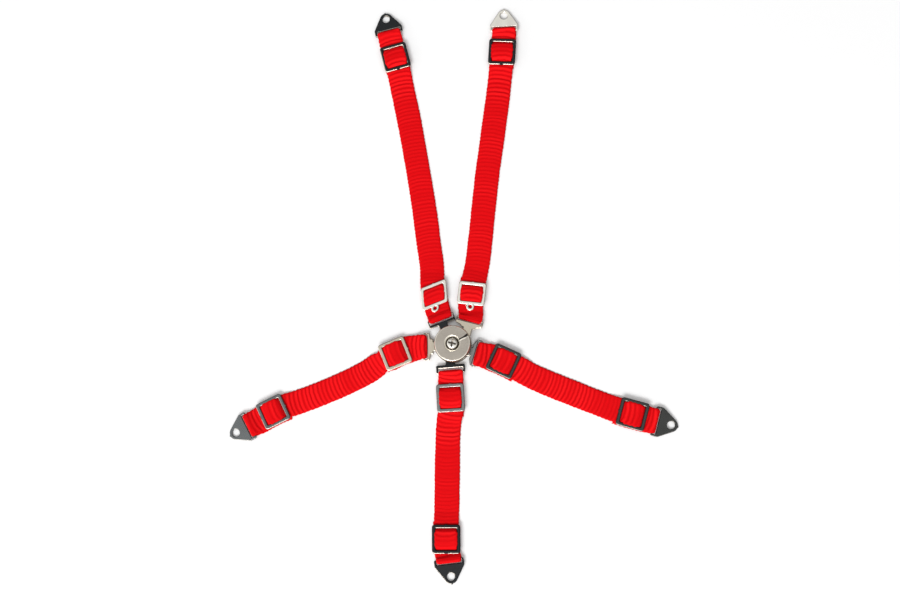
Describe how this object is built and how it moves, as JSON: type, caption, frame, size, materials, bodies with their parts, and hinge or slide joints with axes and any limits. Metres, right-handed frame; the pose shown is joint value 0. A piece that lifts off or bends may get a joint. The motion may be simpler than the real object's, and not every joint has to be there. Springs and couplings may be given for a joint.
{
  "type": "racing harness",
  "caption": "Miniature racing harness laid flat: red webbing straps with sliders and bolt-down anchor plates meet at a round turn-to-release buckle.",
  "frame": {"origin": "centre of the buckle's flat back face", "axes": "+Z out of the front of the buckle, +Y towards the shoulder straps, +X to the right-hand strap seen from the front"},
  "size_m": [0.1389, 0.1823, 0.0053],
  "materials": {
    "webbing": "ribbed woven ribbon, matt with a slight satin sheen",
    "black_metal": "black nickel, semi-gloss",
    "grey_metal": "gunmetal, semi-gloss",
    "bright_metal": "bright nickel",
    "satin_metal": "satin nickel",
    "screw_metal": "polished"
  },
  "bodies": {
    "buckle": {"buckle_housing": "satin_metal", "buckle_screw": "screw_metal"},
    "knob": {"buckle_knob": "satin_metal", "buckle_latch_plate": "satin_metal"},
    "left_shoulder_tongue": {"left_shoulder_tongue": "black_metal"},
    "left_shoulder_strap": {"left_shoulder_webbing": "webbing"},
    "left_shoulder_strap_far": {"left_shoulder_webbing_far": "webbing"},
    "left_shoulder_inner_slider": {"left_shoulder_inner_slider": "bright_metal", "left_shoulder_inner_hump": "webbing"},
    "left_shoulder_outer_slider": {"left_shoulder_outer_slider": "black_metal", "left_shoulder_outer_hump": "webbing"},
    "left_shoulder_anchor": {"left_shoulder_anchor": "black_metal"},
    "right_shoulder_tongue": {"right_shoulder_tongue": "bright_metal"},
    "right_shoulder_strap": {"right_shoulder_webbing": "webbing"},
    "right_shoulder_strap_far": {"right_shoulder_webbing_far": "webbing"},
    "right_shoulder_inner_slider": {"right_shoulder_inner_slider": "bright_metal", "right_shoulder_inner_hump": "webbing"},
    "right_shoulder_outer_slider": {"right_shoulder_outer_slider": "black_metal", "right_shoulder_outer_hump": "webbing"},
    "right_shoulder_anchor": {"right_shoulder_anchor": "bright_metal"},
    "left_lap_tongue": {"left_lap_tongue": "bright_metal"},
    "left_lap_strap": {"left_lap_webbing": "webbing"},
    "left_lap_inner_slider": {"left_lap_inner_slider": "bright_metal", "left_lap_inner_hump": "webbing"},
    "left_lap_outer_slider": {"left_lap_outer_slider": "grey_metal", "left_lap_outer_hump": "webbing"},
    "left_lap_anchor": {"left_lap_anchor": "grey_metal"},
    "right_lap_tongue": {"right_lap_tongue": "grey_metal"},
    "right_lap_strap": {"right_lap_webbing": "webbing"},
    "right_lap_inner_slider": {"right_lap_inner_slider": "black_metal", "right_lap_inner_hump": "webbing"},
    "right_lap_outer_slider": {"right_lap_outer_slider": "black_metal", "right_lap_outer_hump": "webbing"},
    "right_lap_anchor": {"right_lap_anchor": "black_metal"},
    "crotch_tongue": {"crotch_tongue": "black_metal"},
    "crotch_strap": {"crotch_webbing": "webbing"},
    "crotch_inner_slider": {"crotch_inner_slider": "grey_metal", "crotch_inner_hump": "webbing"},
    "crotch_outer_slider": {"crotch_outer_slider": "black_metal", "crotch_outer_hump": "webbing"},
    "crotch_anchor": {"crotch_anchor": "black_metal"}
  },
  "joints": [
    {"name": "knob_turn", "type": "hinge", "parent": "buckle", "child": "knob", "pos_m": [0, 0, 0.0045], "axis": [0, 0, 1], "range_deg": [-35, 35]},
    {"name": "left_shoulder_release", "type": "slide", "parent": "buckle", "child": "left_shoulder_tongue", "axis": [-0.3453, 0.9385, 0], "range_m": [0, 0.008]},
    {"name": "left_shoulder_lift", "type": "hinge", "parent": "left_shoulder_tongue", "child": "left_shoulder_strap", "pos_m": [-0.00406, 0.00853, 0.0009], "axis": [0.9385, 0.3453, 0], "range_deg": [0, 50]},
    {"name": "left_shoulder_bend", "type": "hinge", "parent": "left_shoulder_strap", "child": "left_shoulder_strap_far", "pos_m": [-0.01118, 0.05502, 0.0002], "axis": [0.986, 0.1668, 0], "range_deg": [-90, 0]},
    {"name": "left_shoulder_inner_slide", "type": "slide", "parent": "left_shoulder_strap", "child": "left_shoulder_inner_slider", "axis": [-0.1305, 0.9914, 0], "range_m": [0, 0.02]},
    {"name": "left_shoulder_outer_slide", "type": "slide", "parent": "left_shoulder_strap_far", "child": "left_shoulder_outer_slider", "axis": [0.2062, -0.9785, 0], "range_m": [0, 0.025]},
    {"name": "left_shoulder_anchor_hinge", "type": "hinge", "parent": "left_shoulder_strap_far", "child": "left_shoulder_anchor", "pos_m": [-0.02097, 0.10215, 0.0009], "axis": [0.9759, 0.2181, 0], "range_deg": [0, 100]},
    {"name": "right_shoulder_release", "type": "slide", "parent": "buckle", "child": "right_shoulder_tongue", "axis": [0.2605, 0.9655, 0], "range_m": [0, 0.008]},
    {"name": "right_shoulder_lift", "type": "hinge", "parent": "right_shoulder_tongue", "child": "right_shoulder_strap", "pos_m": [0.00533, 0.00799, 0.0009], "axis": [0.9655, -0.2605, 0], "range_deg": [0, 50]},
    {"name": "right_shoulder_bend", "type": "hinge", "parent": "right_shoulder_strap", "child": "right_shoulder_strap_far", "pos_m": [0.0109, 0.05519, 0.0002], "axis": [0.9924, -0.1233, 0], "range_deg": [-90, 0]},
    {"name": "right_shoulder_inner_slide", "type": "slide", "parent": "right_shoulder_strap", "child": "right_shoulder_inner_slider", "axis": [0.1478, 0.989, 0], "range_m": [0, 0.02]},
    {"name": "right_shoulder_outer_slide", "type": "slide", "parent": "right_shoulder_strap_far", "child": "right_shoulder_outer_slider", "axis": [-0.1132, -0.9936, 0], "range_m": [0, 0.025]},
    {"name": "right_shoulder_anchor_hinge", "type": "hinge", "parent": "right_shoulder_strap_far", "child": "right_shoulder_anchor", "pos_m": [0.01649, 0.10171, 0.0009], "axis": [0.9999, 0.0122, 0], "range_deg": [0, 100]},
    {"name": "left_lap_release", "type": "slide", "parent": "buckle", "child": "left_lap_tongue", "axis": [-0.9998, -0.0209, 0], "range_m": [0, 0.008]},
    {"name": "left_lap_lift", "type": "hinge", "parent": "left_lap_tongue", "child": "left_lap_strap", "pos_m": [-0.00912, -0.00059, 0.0009], "axis": [-0.0209, 0.9998, 0], "range_deg": [0, 70]},
    {"name": "left_lap_inner_slide", "type": "slide", "parent": "left_lap_strap", "child": "left_lap_inner_slider", "axis": [-0.8572, -0.515, 0], "range_m": [0, 0.008]},
    {"name": "left_lap_outer_slide", "type": "slide", "parent": "left_lap_strap", "child": "left_lap_outer_slider", "axis": [0.9304, 0.3665, 0], "range_m": [0, 0.012]},
    {"name": "left_lap_anchor_hinge", "type": "hinge", "parent": "left_lap_strap", "child": "left_lap_anchor", "pos_m": [-0.06404, -0.02465, 0.0009], "axis": [-0.4756, 0.8796, 0], "range_deg": [0, 100]},
    {"name": "right_lap_release", "type": "slide", "parent": "buckle", "child": "right_lap_tongue", "axis": [0.9578, -0.2874, 0], "range_m": [0, 0.008]},
    {"name": "right_lap_lift", "type": "hinge", "parent": "right_lap_tongue", "child": "right_lap_strap", "pos_m": [0.00775, -0.00298, 0.0009], "axis": [-0.2874, -0.9578, 0], "range_deg": [0, 70]},
    {"name": "right_lap_inner_slide", "type": "slide", "parent": "right_lap_strap", "child": "right_lap_inner_slider", "axis": [0.8829, -0.4695, 0], "range_m": [0, 0.008]},
    {"name": "right_lap_outer_slide", "type": "slide", "parent": "right_lap_strap", "child": "right_lap_outer_slider", "axis": [-0.9483, 0.3173, 0], "range_m": [0, 0.012]},
    {"name": "right_lap_anchor_hinge", "type": "hinge", "parent": "right_lap_strap", "child": "right_lap_anchor", "pos_m": [0.06107, -0.02383, 0.0009], "axis": [-0.2622, -0.965, 0], "range_deg": [0, 100]},
    {"name": "crotch_release", "type": "slide", "parent": "buckle", "child": "crotch_tongue", "axis": [0.0698, -0.9976, 0], "range_m": [0, 0.008]},
    {"name": "crotch_lift", "type": "hinge", "parent": "crotch_tongue", "child": "crotch_strap", "pos_m": [-0.00078, -0.00866, 0.0009], "axis": [-0.9976, -0.0698, 0], "range_deg": [0, 70]},
    {"name": "crotch_inner_slide", "type": "slide", "parent": "crotch_strap", "child": "crotch_inner_slider", "axis": [-0.0698, -0.9976, 0], "range_m": [0, 0.01]},
    {"name": "crotch_outer_slide", "type": "slide", "parent": "crotch_strap", "child": "crotch_outer_slider", "axis": [-0.0035, 1, 0], "range_m": [0, 0.015]},
    {"name": "crotch_anchor_hinge", "type": "hinge", "parent": "crotch_strap", "child": "crotch_anchor", "pos_m": [-0.00141, -0.06539, 0.0009], "axis": [-0.9925, -0.1219, 0], "range_deg": [0, 100]}
  ]
}
